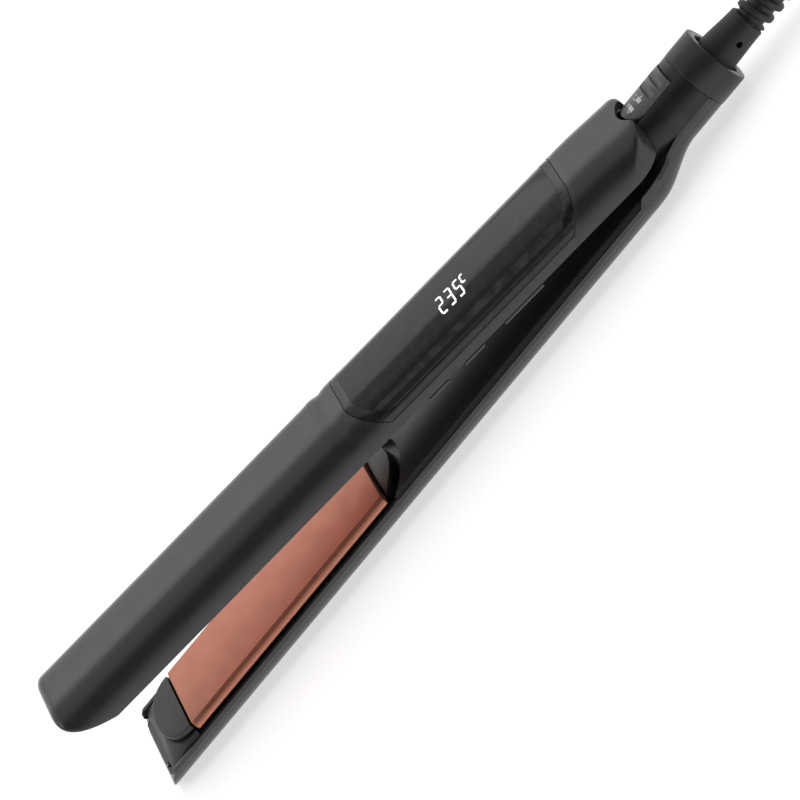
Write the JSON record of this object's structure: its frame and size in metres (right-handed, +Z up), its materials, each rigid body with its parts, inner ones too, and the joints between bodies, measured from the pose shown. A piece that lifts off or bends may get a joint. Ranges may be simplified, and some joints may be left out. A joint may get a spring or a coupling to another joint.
{
  "type": "flat iron",
  "caption": "Slim hair straightener standing slightly open, with coppery floating plates, a wrap-around dark display, side buttons, a lock slider and a swivelling corded neck.",
  "frame": {"origin": "middle of the iron's bounding box seen from above, without the cord's free part, at the surface on which the lower arm lies", "axes": "+X along the arms from the plates' tip towards the cord, +Y across the arms away from the buttons, +Z up"},
  "size_m": [0.5002, 0.0598, 0.0495],
  "materials": {
    "shell_grey": "soft-touch satin",
    "liner_black": "fine matt",
    "plate_copper": "satin ceramic coating",
    "ceramic_white": "matt ceramic",
    "spring_steel": "bare",
    "carrier_brown": "matt heat-proof",
    "silicone_red": "matt",
    "fuse_metal": "satin",
    "wire_white": "matt",
    "wire_red": "matt",
    "hinge_black": "matt",
    "slider_grey": "satin",
    "bush_grey": "smooth",
    "relief_black": "matt",
    "bezel_black": "high gloss",
    "lens_smoke": "high gloss",
    "digit_white": "lit",
    "module_white": "matt",
    "board_green": "solder mask",
    "switch_black": "matt",
    "button_grey": "satin",
    "thermistor_bead": "glazed",
    "cord_black": "satin",
    "tie_black": "matt",
    "plug_black": "fine matt",
    "pin_metal": "plated"
  },
  "bodies": {
    "lower_arm": {"lower_shell": "shell_grey", "lower_liner": "liner_black", "lower_carrier": "carrier_brown", "lower_cushions": "silicone_red", "thermal_fuse": "fuse_metal", "lower_wires": "wire_white", "lower_screws": "spring_steel", "hinge_block": "hinge_black", "hinge_pin": "spring_steel", "opening_spring": "spring_steel", "neck_cover": "liner_black", "end_cap": "shell_grey", "swivel_bush": "bush_grey", "cord_lead": "cord_black", "cord_hank": "cord_black", "cord_tail": "cord_black", "cord_tie": "tie_black", "plug_body": "plug_black", "plug_pins": "pin_metal"},
    "upper_arm": {"upper_shell": "shell_grey", "upper_liner": "liner_black", "upper_carrier": "carrier_brown", "upper_cushions": "silicone_red", "thermistor": "thermistor_bead", "upper_wires": "wire_red", "upper_screws": "spring_steel", "hinge_tongue": "spring_steel", "display_bezel": "bezel_black", "display_lens": "lens_smoke", "display_digits": "digit_white", "led_module": "module_white", "control_board": "board_green", "tact_switches": "switch_black"},
    "lower_heating_plate": {"lower_plate": "plate_copper", "lower_heater": "ceramic_white", "lower_clamp": "spring_steel"},
    "upper_heating_plate": {"upper_plate": "plate_copper", "upper_heater": "ceramic_white", "upper_clamp": "spring_steel"},
    "lock": {"lock_slider": "slider_grey", "lock_bolt": "hinge_black"},
    "swivel": {"strain_relief": "relief_black"},
    "minus_key": {"minus_button": "button_grey"},
    "plus_key": {"plus_button": "button_grey"},
    "power_key": {"power_button": "button_grey"}
  },
  "joints": [
    {"name": "arm_hinge", "type": "hinge", "parent": "lower_arm", "child": "upper_arm", "pos_m": [0.07708, 0, 0.013], "axis": [0, 1, 0], "range_deg": [-5.3, 0], "stiffness_Nm_per_rad": 1.2, "springref_deg": 12.61},
    {"name": "lower_plate_float", "type": "slide", "parent": "lower_arm", "child": "lower_heating_plate", "axis": [0, 0, -1], "range_m": [0, 0.0008], "stiffness_N_per_m": 3000, "springref_m": -0.001},
    {"name": "upper_plate_float", "type": "slide", "parent": "upper_arm", "child": "upper_heating_plate", "axis": [0.0941, 0, 0.9956], "range_m": [0, 0.0008], "stiffness_N_per_m": 3000, "springref_m": -0.001},
    {"name": "lock_slide", "type": "slide", "parent": "lower_arm", "child": "lock", "axis": [-1, 0, 0], "range_m": [0, 0.0055]},
    {"name": "cord_swivel", "type": "hinge", "parent": "lower_arm", "child": "swivel", "pos_m": [0.10608, 0, 0.013], "axis": [0.9986, 0, -0.0523], "continuous": true},
    {"name": "minus_press", "type": "slide", "parent": "upper_arm", "child": "minus_key", "axis": [0, 1, 0], "range_m": [0, 0.0006], "stiffness_N_per_m": 1500, "springref_m": -0.0003},
    {"name": "plus_press", "type": "slide", "parent": "upper_arm", "child": "plus_key", "axis": [0, 1, 0], "range_m": [0, 0.0006], "stiffness_N_per_m": 1500, "springref_m": -0.0003},
    {"name": "power_press", "type": "slide", "parent": "upper_arm", "child": "power_key", "axis": [0, 1, 0], "range_m": [0, 0.0006], "stiffness_N_per_m": 1500, "springref_m": -0.0003}
  ]
}
